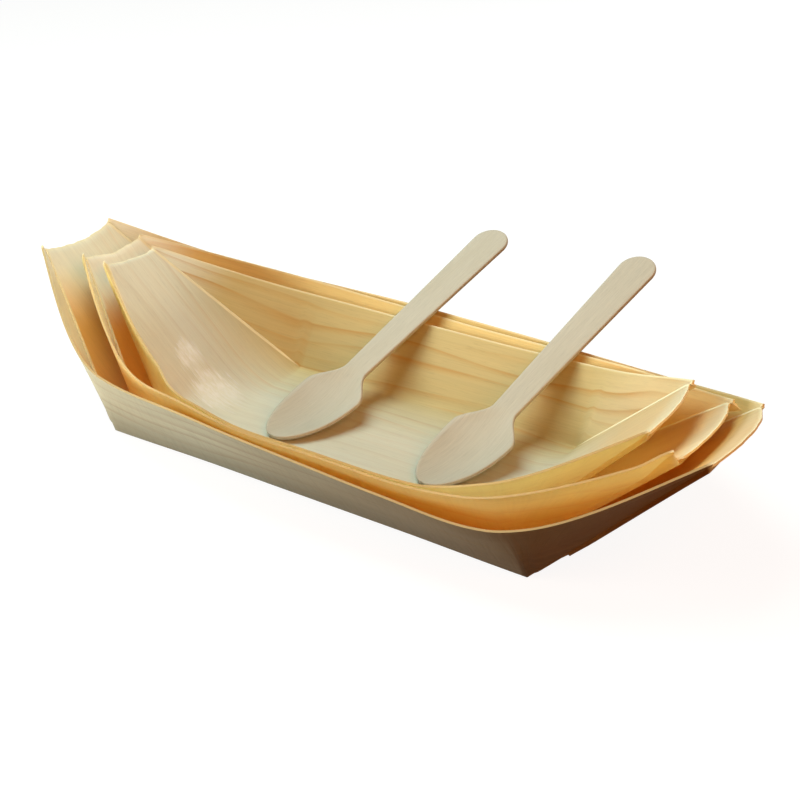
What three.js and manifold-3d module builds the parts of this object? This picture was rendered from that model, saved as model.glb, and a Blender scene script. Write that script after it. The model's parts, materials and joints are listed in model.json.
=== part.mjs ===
// Three boat-shaped serving dishes folded from pine veneer, nested in one another, with two
// wooden spoons lying in the smallest. Millimetres, +Z up. The origin is on the underside of the
// large boat's floor, at its middle. +X runs along the boats, and -Y is the near side.
import * as THREE from 'three';
import Module from 'manifold-3d';

const wasm = await Module();
wasm.setup();

// Veneer and the room that pieces keep to each other
const SHEET = 0.7; // thickness of the veneer
const SEAT_GAP = 0.3; // between a piece and what it rests on
const CREASE_BEND = 0.4; // reach of the tight bend to each side of a crease

// Large boat
const LENGTH = 245; // from tip to tip
const FLOOR_LENGTH = 155;
const FLOOR_WIDTH = 74;
const BEAM = 110; // over the rims amidships
const SIDE_HEIGHT = 24.5; // rim amidships, above the underside

// The ends of each boat, folded by hand: width and height at the tip, and the shoulder, where the
// rim starts to turn in: its distance from the middle, and how much narrower and higher it is there.
// The end panel sags between its creases at the tip, and its middle may reach past the tip. The near
// corner of an end may be lifted higher than the far one.
const LARGE_LEFT = {
  tipWidth: 33, tipHeight: 47.5, shoulder: 71, taper: 15,
  rise: 2.5, sag: 2.6, reach: 0, lift: 2.2,
};
const LARGE_RIGHT = {
  tipWidth: 39.5, tipHeight: 44, shoulder: 71, taper: 5,
  rise: 0.7, sag: 1, reach: 4.2, lift: 1.2,
};
const MEDIUM_LEFT = {
  tipWidth: 27, tipHeight: 43.5, shoulder: 56, taper: 9,
  rise: 3.2, sag: 1.6, reach: 0, lift: 2.6,
};
const MEDIUM_RIGHT = {
  tipWidth: 35.5, tipHeight: 41, shoulder: 56, taper: 5,
  rise: 2, sag: 1, reach: 3, lift: 0,
};
const SMALL_LEFT = {
  tipWidth: 23, tipHeight: 43, shoulder: 50, taper: 8,
  rise: 2.2, sag: 0.8, reach: 0, lift: 2.6,
};
const SMALL_RIGHT = {
  tipWidth: 33, tipHeight: 42, shoulder: 50, taper: 3,
  rise: 1.6, sag: 0.8, reach: 2, lift: 0,
};
const REACH_START = 0.5; // share of the way up an end panel from which it starts to reach out
const LIP_HEIGHT = 0.9; // what is left of the side wall above the crease at the tip
const LIP_FLARE = 0.6; // how far that lip leans out
const BILGE_BEND = 5; // reach of the soft bend between floor and side wall
const END_BEND = 9; // reach of the soft bend between floor and end panel

// From each boat in to the next smaller one: at the tips, at the floor's ends, and in width and height
const MEDIUM_INSET = { tip: { left: 14.5, right: 10 }, floor: { left: 4.5, right: 9.5 } };
const SMALL_INSET = { tip: { left: 11, right: 12.5 }, floor: { left: 25.8, right: 7.2 } };
const WIDTH_STEP = 10;
const HEIGHT_STEP = 1.9;
const NEST_CLEARANCE = 0.6; // where a boat is pushed against the side of the next larger one
const SMALL_TURN = 1.7; // degrees by which the small boat lies askew in the medium one

// Tucks: the ends of the side walls, folded round behind the end panels and glued
const TUCK_START = 9; // from the floor's corner, up the crease
const TUCK_ROOT = 2; // width of the tuck where it starts
const TUCK_SPLIT = 4; // between the two tucks of one end
const TUCK_SHORT = 1.5; // by which the tuck stops short of the end panel's cut edge
const TUCK_EMERGE = 7; // length over which the tuck comes out from behind the crease
const TUCK_BURIED = 0.1; // share of its depth at which the tuck starts in the crease
const FOLD_NOSE = 0.7; // by which the fold stands past the crease
const FOLD_ROOT = 1 / 3; // share of the tuck's depth at which the fold leaves the crease

// Glue between end panel and tuck
const GLUE_REACH = 8; // along the boat
const GLUE_WIDTH = 4.5;
const GLUE_THICKNESS = 0.3;
const GLUE_GAP = 0.1; // to the veneer on each side

// Spoons
const SPOON_LENGTH = 118;
const BOWL_LENGTH = 40;
const BOWL_WIDTH = 25.7;
const BOWL_WIDEST = 27.5; // from the bowl's tip
const BOWL_DEPTH = 3.2;
const BOWL_CURVE = 145; // radius to which the bowl's rim is bent up towards its tip
const NECK_WIDTH = 10;
const HANDLE_WIDTH = 14; // at the rounded end
const SPOON_THICKNESS = 1.5;
const STEEPEST = Math.PI / 3; // tilt that no spoon reaches
const ROOT_TOLERANCE = 1e-9;
// Where a bowl's tip lies on the small boat's floor, from its end and its near edge, and the spoon's turn
const LEFT_SPOON = { end: 'left', fromEnd: 20.4, fromNear: 8, degrees: 13.2 };
const RIGHT_SPOON = { end: 'right', fromEnd: 30.9, fromNear: 10.3, degrees: 13.3 };

// Numbers of facets
const FLOOR_STEPS = 4; // from the middle of the floor to its edge
const BILGE_STEPS = 4; // round the bend from floor to wall
const WALL_STEPS = 2; // from the bend to the rim
const FLAT_STEPS = 4; // from the middle of the boat to the bend of its end
const BEND_STEPS = 4; // round the bend from floor to end panel
const PANEL_STEPS = 5; // up an end panel, above its bend
const TUCK_STEPS = 4;
const BOWL_STEPS = 8; // from tip to widest, and from widest to neck
const HANDLE_STEPS = 4;
const CAP_STEPS = 5; // round the handle's end
const SPOON_COLUMNS = 8;
const GLUE_STEPS = 6;
const BLUNTNESS = 0.08; // share of a round end's turn that is cut off square

const veneer = new THREE.MeshStandardMaterial({ color: 0xd8bd8a, roughness: 0.72, metalness: 0 });
const spoonWood = new THREE.MeshStandardMaterial({ color: 0xd6c6a2, roughness: 0.66, metalness: 0 });
const driedGlue = new THREE.MeshStandardMaterial({ color: 0xe6dab8, roughness: 0.45, metalness: 0 });

const lerp = THREE.MathUtils.lerp;

const END_NAMES = ['left', 'right'];
const ends = (make) => Object.fromEntries(END_NAMES.map((name) => [name, make(name)]));
const outward = (name) => (name === 'left' ? -1 : 1);

const large = {
  name: 'large',
  shape: { left: LARGE_LEFT, right: LARGE_RIGHT },
  floorWidth: FLOOR_WIDTH,
  beam: BEAM,
  sideHeight: SIDE_HEIGHT,
  tipX: ends((name) => (outward(name) * LENGTH) / 2),
  floorX: ends((name) => (outward(name) * FLOOR_LENGTH) / 2),
  place: new THREE.Vector3(),
  turn: 0,
};

// The next smaller boat, standing in a larger one, askew and pushed to one side of it (1 far, -1 near).
function smallerBoat(name, shape, larger, inset, side, degrees) {
  const turn = THREE.MathUtils.degToRad(degrees);
  const swing = (Math.sin(Math.abs(turn)) * FLOOR_LENGTH) / 2;
  const play = WIDTH_STEP / 2 - 2 * SHEET - NEST_CLEARANCE - swing;
  return {
    name,
    shape,
    floorWidth: larger.floorWidth - WIDTH_STEP,
    beam: larger.beam - WIDTH_STEP,
    sideHeight: larger.sideHeight - HEIGHT_STEP,
    tipX: ends((end) => larger.tipX[end] - outward(end) * inset.tip[end]),
    floorX: ends((end) => larger.floorX[end] - outward(end) * inset.floor[end]),
    place: larger.place.clone().add(new THREE.Vector3(0, side * play, SHEET + SEAT_GAP)),
    turn,
  };
}

const mediumShape = { left: MEDIUM_LEFT, right: MEDIUM_RIGHT };
const smallShape = { left: SMALL_LEFT, right: SMALL_RIGHT };
const medium = smallerBoat('medium', mediumShape, large, MEDIUM_INSET, 1, 0);
const small = smallerBoat('small', smallShape, medium, SMALL_INSET, -1, SMALL_TURN);

// A curve through stations [x, value] that never overshoots them (monotone cubic).
function smoothThrough(stations) {
  const last = stations.length - 1;
  const gap = stations.slice(1).map(([x], k) => x - stations[k][0]);
  const rise = stations.slice(1).map(([, value], k) => (value - stations[k][1]) / gap[k]);
  const endSlope = (h0, h1, r0, r1) => {
    const slope = ((2 * h0 + h1) * r0 - h0 * r1) / (h0 + h1);
    return Math.sign(slope) === Math.sign(r0) ? slope : 0;
  };
  const slopes = stations.map((station, k) => {
    if (k === 0) return endSlope(gap[0], gap[1], rise[0], rise[1]);
    if (k === last) return endSlope(gap[k - 1], gap[k - 2], rise[k - 1], rise[k - 2]);
    if (rise[k - 1] * rise[k] <= 0) return 0;
    const before = 2 * gap[k] + gap[k - 1];
    const after = gap[k] + 2 * gap[k - 1];
    return (before + after) / (before / rise[k - 1] + after / rise[k]);
  });
  return (x) => {
    let k = 0;
    while (k < last - 1 && x > stations[k + 1][0]) k += 1;
    const t = (x - stations[k][0]) / gap[k];
    const value = lerp(stations[k][1], stations[k + 1][1], 3 * t ** 2 - 2 * t ** 3);
    const bend = (t ** 3 - 2 * t ** 2 + t) * slopes[k] + (t ** 3 - t ** 2) * slopes[k + 1];
    return value + gap[k] * bend;
  };
}

// The inner face of one boat: rim, crease and end panel as functions of the place along the boat.
function boatForm(boat) {
  const { left, right } = boat.shape;
  const middleX = (boat.tipX.left + boat.tipX.right) / 2;
  const rimY = smoothThrough([
    [boat.tipX.left, left.tipWidth / 2],
    [middleX - left.shoulder, (boat.beam - left.taper) / 2],
    [middleX, boat.beam / 2],
    [middleX + right.shoulder, (boat.beam - right.taper) / 2],
    [boat.tipX.right, right.tipWidth / 2],
  ]);
  const rimZ = smoothThrough([
    [boat.tipX.left, left.tipHeight],
    [middleX - left.shoulder, boat.sideHeight + left.rise],
    [middleX, boat.sideHeight],
    [middleX + right.shoulder, boat.sideHeight + right.rise],
    [boat.tipX.right, right.tipHeight],
  ]);
  const endAt = (x) => (x < middleX ? 'left' : 'right');
  const run = ends((end) => Math.abs(boat.tipX[end] - boat.floorX[end]));
  // Share of the way from the floor's end to the tip, below 0 over the floor.
  const climb = (x) => ((x - boat.floorX[endAt(x)]) * outward(endAt(x))) / run[endAt(x)];
  const panelRise = (x) => boat.shape[endAt(x)].tipHeight - LIP_HEIGHT - SHEET;
  const creaseY = (x) => {
    const atTip = boat.shape[endAt(x)].tipWidth / 2 - LIP_FLARE;
    return lerp(boat.floorWidth / 2, atTip, Math.max(0, climb(x)));
  };
  const creaseZ = (x) => SHEET + panelRise(x) * Math.max(0, climb(x));
  // Middle of floor and end panel: a soft bend, then a straight rise that hangs below the creases.
  const middleZ = (x) => {
    const reach = END_BEND / run[endAt(x)];
    const t = climb(x);
    const bent = Math.abs(t) < reach ? (t + reach) ** 2 / (4 * reach) : Math.max(0, t);
    return SHEET + panelRise(x) * bent - boat.shape[endAt(x)].sag * Math.max(0, t);
  };
  const floorZ = (x, y) => lerp(middleZ(x), creaseZ(x), (y / creaseY(x)) ** 2);
  // A point of floor or end panel, moved out where the panel's middle reaches past the tip.
  const onFloor = (x, y) => {
    const share = THREE.MathUtils.smoothstep(climb(x), REACH_START, 1) * (1 - (y / creaseY(x)) ** 2);
    const reached = x + outward(endAt(x)) * boat.shape[endAt(x)].reach * share;
    return new THREE.Vector3(reached, y, floorZ(reached, y));
  };
  // Height that an end gains towards its near side, which the fold has lifted.
  const lift = (x, y) => {
    const shape = boat.shape[endAt(x)];
    const towardNear = THREE.MathUtils.clamp(0.5 - y / shape.tipWidth, 0, 1);
    return shape.lift * THREE.MathUtils.smoothstep(climb(x), 0, 1) * towardNear;
  };
  return { middleX, rimY, rimZ, climb, creaseY, creaseZ, floorZ, onFloor, lift };
}

// Stations from the middle of a boat to one of its tips: flat floor, bend, end panel.
function stationsToTip(boat, form, end) {
  const flatEnd = boat.floorX[end] - outward(end) * END_BEND;
  const bendEnd = boat.floorX[end] + outward(end) * END_BEND;
  const between = (from, to, count) => (
    Array.from({ length: count }, (_, k) => lerp(from, to, k / count)));
  return [
    ...between(form.middleX, flatEnd, FLAT_STEPS),
    ...between(flatEnd, bendEnd, BEND_STEPS),
    ...between(bendEnd, boat.tipX[end], PANEL_STEPS),
    boat.tipX[end],
  ];
}

// One half of the section across the boat at x, from the middle of the floor out to the rim.
function halfSection(form, x) {
  const crease = new THREE.Vector2(form.creaseY(x), form.creaseZ(x));
  const rim = new THREE.Vector2(form.rimY(x), form.rimZ(x));
  const softness = THREE.MathUtils.smoothstep(-form.climb(x), 0, 1);
  const reach = lerp(CREASE_BEND, BILGE_BEND, softness);
  const wall = rim.clone().sub(crease).normalize();
  const bendStart = new THREE.Vector2(crease.x - reach, form.floorZ(x, crease.x - reach));
  const bendEnd = crease.clone().addScaledVector(wall, reach);
  const bend = new THREE.QuadraticBezierCurve(bendStart, crease, bendEnd).getPoints(BILGE_STEPS);
  const floor = Array.from({ length: FLOOR_STEPS }, (_, k) => (
    form.onFloor(x, (bendStart.x * k) / FLOOR_STEPS)));
  const upWall = Array.from({ length: WALL_STEPS }, (_, k) => (
    bendEnd.clone().lerp(rim, (k + 1) / WALL_STEPS)));
  return [...floor, ...[...bend, ...upWall].map((point) => new THREE.Vector3(x, point.x, point.y))];
}

// Normals of a grid of points, each the mean over the faces around the point.
function gridNormals(grid) {
  const at = (row, column) => {
    const r = THREE.MathUtils.clamp(row, 0, grid.length - 1);
    return grid[r][THREE.MathUtils.clamp(column, 0, grid[r].length - 1)];
  };
  return grid.map((line, row) => line.map((point, column) => {
    const sum = new THREE.Vector3();
    for (const [dr, dc] of [[1, 1], [1, -1], [-1, -1], [-1, 1]]) {
      const along = at(row + dr, column).clone().sub(point);
      const across = at(row, column + dc).clone().sub(point);
      sum.addScaledVector(along.cross(across).normalize(), dr * dc);
    }
    return sum.normalize();
  }));
}

// A closed geometry from vertices and polygons, turned so that its faces point out.
function closedGeometry(points, faces) {
  const triangles = faces.flatMap((face) => (
    face.slice(2).map((_, k) => [face[0], face[k + 1], face[k + 2]])));
  const volume = triangles.reduce((sum, [a, b, c]) => (
    sum + points[a].dot(points[b].clone().cross(points[c]))), 0);
  const facingOut = volume > 0 ? triangles : triangles.map(([a, b, c]) => [a, c, b]);
  const positions = points.flatMap((point) => point.toArray());
  const geometry = new THREE.BufferGeometry();
  geometry.setAttribute('position', new THREE.Float32BufferAttribute(positions, 3));
  geometry.setIndex(facingOut.flat());
  return geometry;
}

// The solid between two grids of points of the same size.
function solidBetween(top, bottom) {
  const rows = top.length;
  const columns = top[0].length;
  const points = [...top.flat(), ...bottom.flat()];
  const upper = (r, c) => r * columns + c;
  const lower = (r, c) => rows * columns + r * columns + c;
  const faces = [];
  for (let r = 0; r + 1 < rows; r += 1) {
    for (let c = 0; c + 1 < columns; c += 1) {
      faces.push([upper(r, c), upper(r + 1, c), upper(r + 1, c + 1), upper(r, c + 1)]);
      faces.push([lower(r, c), lower(r, c + 1), lower(r + 1, c + 1), lower(r + 1, c)]);
    }
    faces.push([upper(r + 1, 0), upper(r, 0), lower(r, 0), lower(r + 1, 0)]);
    const c = columns - 1;
    faces.push([upper(r, c), upper(r + 1, c), lower(r + 1, c), lower(r, c)]);
  }
  for (let c = 0; c + 1 < columns; c += 1) {
    faces.push([upper(0, c), upper(0, c + 1), lower(0, c + 1), lower(0, c)]);
    const r = rows - 1;
    faces.push([upper(r, c + 1), upper(r, c), lower(r, c), lower(r, c + 1)]);
  }
  return closedGeometry(points, faces);
}

// The solid swept through closed sections of points. The flat outline of one section gives the
// triangles of both ends.
function solidThrough(sections, outline) {
  const count = outline.length;
  const points = sections.flat();
  const faces = [];
  for (let s = 0; s + 1 < sections.length; s += 1) {
    for (let k = 0; k < count; k += 1) {
      const next = (k + 1) % count;
      faces.push([s * count + k, s * count + next, (s + 1) * count + next, (s + 1) * count + k]);
    }
  }
  const lastRing = (sections.length - 1) * count;
  const turn = Math.sign(THREE.ShapeUtils.area(outline));
  for (const corners of THREE.ShapeUtils.triangulateShape(outline, [])) {
    const cornerTurn = Math.sign(THREE.ShapeUtils.area(corners.map((k) => outline[k])));
    const cap = cornerTurn === turn ? corners : corners.toReversed();
    faces.push(cap.toReversed());
    faces.push(cap.map((k) => lastRing + k));
  }
  return closedGeometry(points, faces);
}

function toManifold(geometry) {
  const vertProperties = new Float32Array(geometry.getAttribute('position').array);
  const triVerts = new Uint32Array(geometry.getIndex().array);
  return new wasm.Manifold(new wasm.Mesh({ numProp: 3, vertProperties, triVerts }));
}

function fromManifold(solid) {
  const { vertProperties, triVerts, numProp } = solid.getMesh();
  const positions = [];
  for (let k = 0; k < vertProperties.length; k += numProp) {
    positions.push(vertProperties[k], vertProperties[k + 1], vertProperties[k + 2]);
  }
  const geometry = new THREE.BufferGeometry();
  geometry.setAttribute('position', new THREE.Float32BufferAttribute(positions, 3));
  geometry.setIndex(Array.from(triVerts));
  return geometry;
}

function namedMesh(name, geometry, material) {
  const mesh = new THREE.Mesh(geometry, material);
  mesh.name = name;
  return mesh;
}

// A point beside an end panel: at x along the boat, inward from the crease, and out behind the panel.
function behindPanel(form, side, x, inward, depth) {
  const step = 0.01; // over which the panel's slope is measured
  const y = side * (form.creaseY(x) - inward);
  const at = (px, py) => new THREE.Vector3(px, py, form.floorZ(px, py));
  const alongX = at(x + step, y).sub(at(x - step, y));
  const alongY = at(x, y + step).sub(at(x, y - step));
  const normal = alongX.cross(alongY).normalize();
  const point = at(x, y).addScaledVector(normal, -depth);
  point.z += form.lift(x, y);
  return point;
}

const slot = GLUE_THICKNESS + 2 * GLUE_GAP; // between end panel and tuck

const tuckStart = (boat, end) => boat.floorX[end] + outward(end) * TUCK_START;

// Width of a tuck at x: narrow at its start, nearly half the end panel at the tip.
function tuckWidth(form, boat, end, x) {
  const start = tuckStart(boat, end);
  const atTip = form.creaseY(boat.tipX[end]) - TUCK_SPLIT / 2;
  return lerp(TUCK_ROOT, atTip, (x - start) / (boat.tipX[end] - start));
}

// A tuck's section as [inward, depth] points: the fold at the crease, then the flap to its free edge.
// It lies in the crease where it starts, and clear behind the panel once it has come out.
function tuckSection(width, comeOut) {
  const inner = (SHEET + slot) * lerp(TUCK_BURIED, 1, comeOut);
  const outer = inner + SHEET;
  const root = inner * FOLD_ROOT;
  const flap = Array.from({ length: TUCK_STEPS }, (_, k) => (
    lerp(CREASE_BEND, width, (k + 1) / TUCK_STEPS)));
  return [
    [CREASE_BEND, root],
    [CREASE_BEND, inner],
    ...flap.map((inward) => [inward, inner]),
    ...flap.toReversed().map((inward) => [inward, outer]),
    [0, outer],
    [-FOLD_NOSE, (inner + outer) / 2],
    [-CREASE_BEND, root],
  ];
}

function tuck(form, boat, end, side) {
  const start = tuckStart(boat, end);
  const out = start + outward(end) * TUCK_EMERGE;
  const stop = boat.tipX[end] - outward(end) * TUCK_SHORT;
  const stations = [
    [start, 0],
    [(start + out) / 2, 0.5],
    [out, 1],
    [(out + stop) / 2, 1],
    [stop, 1],
  ];
  const sections = stations.map(([x, comeOut]) => {
    const section = tuckSection(tuckWidth(form, boat, end, x), comeOut);
    return section.map(([inward, depth]) => behindPanel(form, side, x, inward, depth));
  });
  const outline = tuckSection(TUCK_ROOT, 1).map(([inward, depth]) => new THREE.Vector2(inward, depth));
  return solidThrough(sections, outline);
}

// A flat oval of glue in the slot behind an end panel, halfway across the tuck.
function glueSpot(form, boat, end, side) {
  const middle = (tuckStart(boat, end) + outward(end) * TUCK_EMERGE + boat.tipX[end]) / 2;
  const face = (depth) => Array.from({ length: GLUE_STEPS + 1 }, (_, r) => {
    const angle = Math.PI * lerp(BLUNTNESS, 1 - BLUNTNESS, r / GLUE_STEPS);
    const x = middle - (Math.cos(angle) * GLUE_REACH) / 2;
    const centre = (tuckWidth(form, boat, end, x) + CREASE_BEND) / 2;
    const half = (Math.sin(angle) * GLUE_WIDTH) / 2;
    return [-1, 0, 1].map((share) => behindPanel(form, side, x, centre + share * half, SHEET + depth));
  });
  return solidBetween(face(GLUE_GAP), face(GLUE_GAP + GLUE_THICKNESS));
}

const SIDES = [['near', -1], ['far', 1]];

// One boat: the folded veneer with its four tucks, and the four spots of glue that hold them.
function makeBoat(boat) {
  const form = boatForm(boat);
  const toRight = stationsToTip(boat, form, 'right');
  const toLeft = stationsToTip(boat, form, 'left').slice(1).reverse();
  const inner = [...toLeft, ...toRight].map((x) => {
    const far = halfSection(form, x);
    const near = far.slice(1).reverse().map((p) => new THREE.Vector3(p.x, -p.y, p.z));
    const line = [...near, ...far];
    for (const point of line) point.z += form.lift(x, point.y);
    return line;
  });
  const normals = gridNormals(inner);
  const outer = inner.map((line, r) => line.map((point, c) => (
    point.clone().addScaledVector(normals[r][c], -SHEET))));
  let sheet = toManifold(solidBetween(inner, outer));
  const group = new THREE.Group();
  group.position.copy(boat.place);
  group.rotation.z = boat.turn;
  for (const end of END_NAMES) {
    for (const [sideName, side] of SIDES) {
      sheet = sheet.add(toManifold(tuck(form, boat, end, side)));
      const name = `${boat.name}_glue_${end}_${sideName}`;
      group.add(namedMesh(name, glueSpot(form, boat, end, side), driedGlue));
    }
  }
  group.add(namedMesh(`${boat.name}_boat`, fromManifold(sheet), veneer));
  return group;
}

// Half the width of a spoon at a distance from its bowl's tip.
function spoonHalfWidth(s) {
  const bowl = BOWL_WIDTH / 2;
  const neck = NECK_WIDTH / 2;
  const cap = HANDLE_WIDTH / 2;
  const capStart = SPOON_LENGTH - cap;
  if (s < BOWL_WIDEST) return bowl * Math.sqrt(1 - (1 - s / BOWL_WIDEST) ** 2);
  if (s < BOWL_LENGTH) {
    const t = (s - BOWL_WIDEST) / (BOWL_LENGTH - BOWL_WIDEST);
    return lerp(neck, bowl, (1 + Math.cos(Math.PI * t)) / 2);
  }
  if (s < capStart) return lerp(neck, cap, (s - BOWL_LENGTH) / (capStart - BOWL_LENGTH));
  return Math.sqrt(Math.max(0, cap ** 2 - (s - capStart) ** 2));
}

// Height of the spoon's upper face over its handle's plane, at a share of the half width from its middle.
function spoonTop(s, share) {
  if (s >= BOWL_LENGTH) return 0;
  const bentUp = (BOWL_LENGTH - s) ** 2 / (2 * BOWL_CURVE);
  const dish = BOWL_DEPTH * Math.sin((Math.PI * s) / BOWL_LENGTH) * (1 - share ** 2);
  return bentUp - dish;
}

function spoonStations() {
  const capStart = SPOON_LENGTH - HANDLE_WIDTH / 2;
  const stations = [];
  for (let k = 0; k <= BOWL_STEPS; k += 1) {
    const angle = (Math.PI / 2) * lerp(BLUNTNESS, 1, k / BOWL_STEPS);
    stations.push(BOWL_WIDEST * (1 - Math.cos(angle)));
  }
  for (let k = 1; k <= BOWL_STEPS; k += 1) {
    stations.push(lerp(BOWL_WIDEST, BOWL_LENGTH, k / BOWL_STEPS));
  }
  for (let k = 1; k <= HANDLE_STEPS; k += 1) {
    stations.push(lerp(BOWL_LENGTH, capStart, k / HANDLE_STEPS));
  }
  for (let k = 1; k <= CAP_STEPS; k += 1) {
    const angle = (Math.PI / 2) * (1 - BLUNTNESS) * (k / CAP_STEPS);
    stations.push(capStart + (HANDLE_WIDTH / 2) * Math.sin(angle));
  }
  return stations;
}

function spoonGeometry() {
  const grid = (drop) => spoonStations().map((s) => (
    Array.from({ length: SPOON_COLUMNS + 1 }, (_, c) => {
      const share = (2 * c) / SPOON_COLUMNS - 1;
      return new THREE.Vector3(share * spoonHalfWidth(s), s, spoonTop(s, share) - drop);
    })));
  return solidBetween(grid(0), grid(SPOON_THICKNESS));
}

// Where a rising function passes zero between two values, found by halving.
function rootOf(rising, low, high) {
  const middle = (low + high) / 2;
  if (high - low < ROOT_TOLERANCE) return middle;
  return rising(middle) > 0 ? rootOf(rising, low, middle) : rootOf(rising, middle, high);
}

// Place, tilt and turn of a spoon that lies on the small boat's floor and against its far rim.
function spoonRest({ end, fromEnd, fromNear, degrees }) {
  const form = boatForm(small);
  const turn = THREE.MathUtils.degToRad(degrees);
  const tipX = small.floorX[end] - outward(end) * fromEnd;
  const tipY = small.place.y - small.floorWidth / 2 + fromNear;
  const rimAt = (x) => form.rimY(x) + small.place.y + x * Math.sin(small.turn);
  const along = (reach) => tipX + reach * Math.sin(turn);
  const reach = rootOf((r) => tipY + r * Math.cos(turn) - rimAt(along(r)), 0, SPOON_LENGTH);
  const beside = [-1, 0, 1].map((share) => form.rimZ(along(reach) + (share * HANDLE_WIDTH) / 2));
  const rimTop = Math.max(...beside) + small.place.z + SEAT_GAP;
  const floorTop = small.place.z + SHEET + SEAT_GAP;
  const heightAt = (tilt) => {
    const underside = spoonStations().map((s) => (
      s * Math.sin(tilt) + (spoonTop(s, 0) - SPOON_THICKNESS) * Math.cos(tilt)));
    return floorTop - Math.min(...underside);
  };
  const lowEdge = reach - spoonHalfWidth(reach) * Math.tan(Math.abs(turn));
  const overRim = (tilt) => (
    heightAt(tilt) + lowEdge * Math.tan(tilt) - SPOON_THICKNESS / Math.cos(tilt) - rimTop);
  const tilt = rootOf(overRim, 0, STEEPEST);
  return { place: new THREE.Vector3(tipX, tipY, heightAt(tilt)), tilt, turn };
}

function makeSpoon(name, plan) {
  const { place, tilt, turn } = spoonRest(plan);
  const mesh = namedMesh(name, spoonGeometry(), spoonWood);
  mesh.rotation.set(tilt, 0, -turn, 'ZXY');
  mesh.position.copy(place);
  return mesh;
}

const set = new THREE.Group();
for (const boat of [large, medium, small]) {
  set.add(makeBoat(boat));
}
set.add(makeSpoon('left_spoon', LEFT_SPOON));
set.add(makeSpoon('right_spoon', RIGHT_SPOON));

export default set;
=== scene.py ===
# %% [markdown]
# # Three veneer boats and two spoons
# Three serving boats, each folded from one sheet of pine veneer, stand in one another, and two small
# wooden spoons lie in the smallest. The measured model gives every piece its place and its bodies.
# This lesson rebuilds the visible pieces as fine meshes in the same frame, in metres, and gives them
# their wood. The box of the measured model is kept, because the dressed pieces have to stay in it.

# %% Load the measured model
import json
import math
from dataclasses import dataclass

import bpy
import numpy as np
from mathutils import Matrix, Vector, noise

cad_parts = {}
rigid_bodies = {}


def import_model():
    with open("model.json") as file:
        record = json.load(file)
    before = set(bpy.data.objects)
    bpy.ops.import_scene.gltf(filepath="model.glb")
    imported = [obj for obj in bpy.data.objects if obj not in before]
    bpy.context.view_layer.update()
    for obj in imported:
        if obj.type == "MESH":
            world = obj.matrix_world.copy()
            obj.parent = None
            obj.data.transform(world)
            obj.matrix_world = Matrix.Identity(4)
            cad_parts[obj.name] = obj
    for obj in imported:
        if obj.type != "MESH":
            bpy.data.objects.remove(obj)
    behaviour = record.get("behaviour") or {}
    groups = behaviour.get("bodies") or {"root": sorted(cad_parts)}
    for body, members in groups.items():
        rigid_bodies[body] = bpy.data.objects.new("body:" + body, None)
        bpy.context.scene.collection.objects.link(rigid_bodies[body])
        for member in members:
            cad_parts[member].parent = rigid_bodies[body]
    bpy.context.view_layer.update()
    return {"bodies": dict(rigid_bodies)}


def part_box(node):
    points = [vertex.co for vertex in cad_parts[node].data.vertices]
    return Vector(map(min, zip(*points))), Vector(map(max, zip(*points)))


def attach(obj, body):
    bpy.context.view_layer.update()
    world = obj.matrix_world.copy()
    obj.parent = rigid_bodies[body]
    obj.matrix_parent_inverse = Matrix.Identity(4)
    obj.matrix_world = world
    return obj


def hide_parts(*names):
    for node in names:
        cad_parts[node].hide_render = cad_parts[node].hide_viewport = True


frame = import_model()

scene = bpy.context.scene
print("bodies:", ", ".join(frame["bodies"]))

# %% [markdown]
# ## Camera
# The photograph looks down on the boats from the right, from about half a metre away. A camera can be
# aimed with a constraint, but here its three axes are written out from two angles: that is exact and
# leaves nothing to update. Its lens is given for a 36 mm wide sensor and a square picture.

# %% Camera
camera_azimuth = math.radians(31.81)
camera_elevation = math.radians(30.10)
camera_place = Vector((0.2330, -0.3573, 0.2646))
camera_lens = 68.19
sensor_width = 36.0

flat_back = Vector((math.sin(camera_azimuth), -math.cos(camera_azimuth), 0))
camera_back = flat_back * math.cos(camera_elevation) + Vector((0, 0, math.sin(camera_elevation)))
camera_right = Vector((math.cos(camera_azimuth), math.sin(camera_azimuth), 0))
camera_up = camera_back.cross(camera_right)

camera_data = bpy.data.cameras.new("camera")
camera_data.sensor_width = sensor_width
camera_data.lens = camera_lens
camera = bpy.data.objects.new("camera", camera_data)
camera_axes = Matrix((camera_right, camera_up, camera_back)).transposed()
camera.matrix_world = Matrix.Translation(camera_place) @ camera_axes.to_4x4()
scene.collection.objects.link(camera)
scene.camera = camera
print("camera distance:", round(camera_place.length, 3), "m")

# %% [markdown]
# ## Node helper
# A finish is a small network of shader nodes. Nodes can be made by hand one call at a time, which
# soon hides the idea behind bookkeeping. This helper makes a node and fills its inputs in one line:
# an input that is given another node's output is linked, and any other value is set on the socket.

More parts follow.
